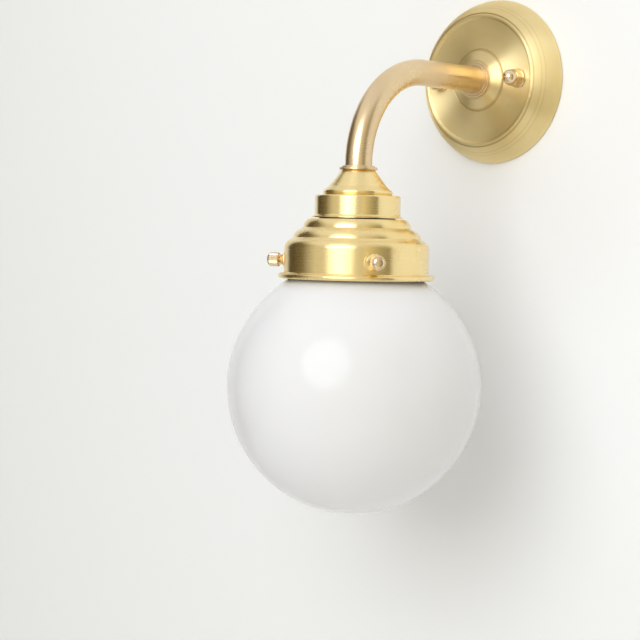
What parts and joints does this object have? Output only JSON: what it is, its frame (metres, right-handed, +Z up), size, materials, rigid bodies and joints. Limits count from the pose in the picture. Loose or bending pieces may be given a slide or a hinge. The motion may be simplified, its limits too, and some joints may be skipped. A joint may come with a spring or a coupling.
{
  "type": "globe wall sconce",
  "caption": "Wall light with a round dished rose, a bent tube arm, a stepped shade gallery with thumbscrews and an opal glass globe hanging below.",
  "frame": {"origin": "centre of the rose's back, on the wall plane", "axes": "+Z up, +Y into the wall (the light stands out along -Y), +X to the right seen from the room"},
  "size_m": [0.15, 0.208, 0.3172],
  "materials": {
    "satin_brass": "brushed and lacquered",
    "polished_brass": "polished and lacquered",
    "turned_brass": "turned and lacquered",
    "zinc_steel": "zinc plated",
    "contact_brass": "bare",
    "black_resin": "moulded",
    "ceramic": "glazed steatite",
    "white_resin": "moulded",
    "nylon": "natural",
    "opal_glass": "opal, fire polished",
    "frosted_glass": "frosted",
    "lamp_cap_metal": "bright",
    "lamp_insulator": "vitrified",
    "brown_sleeve": "extruded",
    "blue_sleeve": "extruded",
    "green_sleeve": "extruded"
  },
  "bodies": {
    "fixture": {"wall_rose": "satin_brass", "holder_cup": "satin_brass", "gallery": "satin_brass", "screw_bush_1": "satin_brass", "screw_bush_2": "satin_brass", "screw_bush_3": "satin_brass", "arm_tube": "polished_brass", "arm_wall_collar": "polished_brass", "arm_lamp_collar": "polished_brass", "cap_nut_left": "turned_brass", "cap_nut_right": "turned_brass", "rose_washer_left": "turned_brass", "rose_washer_right": "turned_brass", "mounting_plate": "zinc_steel", "stud_left": "zinc_steel", "stud_right": "zinc_steel", "wall_nipple": "zinc_steel", "lamp_nipple": "zinc_steel", "wall_toothed_washer": "zinc_steel", "lamp_toothed_washer": "zinc_steel", "wall_lock_nut": "zinc_steel", "lamp_lock_nut": "zinc_steel", "terminal_screws": "zinc_steel", "contact_screws": "zinc_steel", "earth_screw": "contact_brass", "earth_tag": "contact_brass", "lampholder_screw_shell": "contact_brass", "centre_contact": "contact_brass", "lampholder_cap": "black_resin", "lampholder_skirt": "black_resin", "shade_ring": "black_resin", "lampholder_insulator": "ceramic", "terminal_block": "white_resin", "globe": "opal_glass", "wire_live": "brown_sleeve", "wire_neutral": "blue_sleeve", "wire_earth": "green_sleeve"},
    "lamp": {"bulb_cap": "lamp_cap_metal", "bulb_glass": "frosted_glass", "bulb_contact": "lamp_cap_metal", "bulb_insulator": "lamp_insulator"},
    "shade_screw_tip_1": {"screw_tip_1": "nylon"},
    "shade_screw_1": {"thumbscrew_1": "turned_brass"},
    "shade_screw_tip_2": {"screw_tip_2": "nylon"},
    "shade_screw_2": {"thumbscrew_2": "turned_brass"},
    "shade_screw_tip_3": {"screw_tip_3": "nylon"},
    "shade_screw_3": {"thumbscrew_3": "turned_brass"}
  },
  "joints": [
    {"name": "screw_1_travel", "type": "slide", "parent": "fixture", "child": "shade_screw_tip_1", "axis": [0.809, -0.5878, 0], "range_m": [0, 0.004]},
    {"name": "screw_1_turn", "type": "hinge", "parent": "shade_screw_tip_1", "child": "shade_screw_1", "pos_m": [0.04045, -0.16239, -0.1155], "axis": [0.809, -0.5878, 0], "range_deg": [0, 2057.2]},
    {"name": "screw_2_travel", "type": "slide", "parent": "fixture", "child": "shade_screw_tip_2", "axis": [0.1045, 0.9945, 0], "range_m": [0, 0.004]},
    {"name": "screw_2_turn", "type": "hinge", "parent": "shade_screw_tip_2", "child": "shade_screw_2", "pos_m": [0.00523, -0.08327, -0.1155], "axis": [0.1045, 0.9945, 0], "range_deg": [0, 2057.2]},
    {"name": "screw_3_travel", "type": "slide", "parent": "fixture", "child": "shade_screw_tip_3", "axis": [-0.9135, -0.4067, 0], "range_m": [0, 0.004]},
    {"name": "screw_3_turn", "type": "hinge", "parent": "shade_screw_tip_3", "child": "shade_screw_3", "pos_m": [-0.04568, -0.15334, -0.1155], "axis": [-0.9135, -0.4067, 0], "range_deg": [0, 2057.2]},
    {"name": "lamp_unscrew", "type": "slide", "parent": "fixture", "child": "lamp", "axis": [0, 0, -1], "range_m": [0, 0.026]}
  ],
  "couplings": [
    {"joint": "screw_1_turn", "follows": "screw_1_travel", "rad_per_m": 8976},
    {"joint": "screw_2_turn", "follows": "screw_2_travel", "rad_per_m": 8976},
    {"joint": "screw_3_turn", "follows": "screw_3_travel", "rad_per_m": 8976}
  ]
}
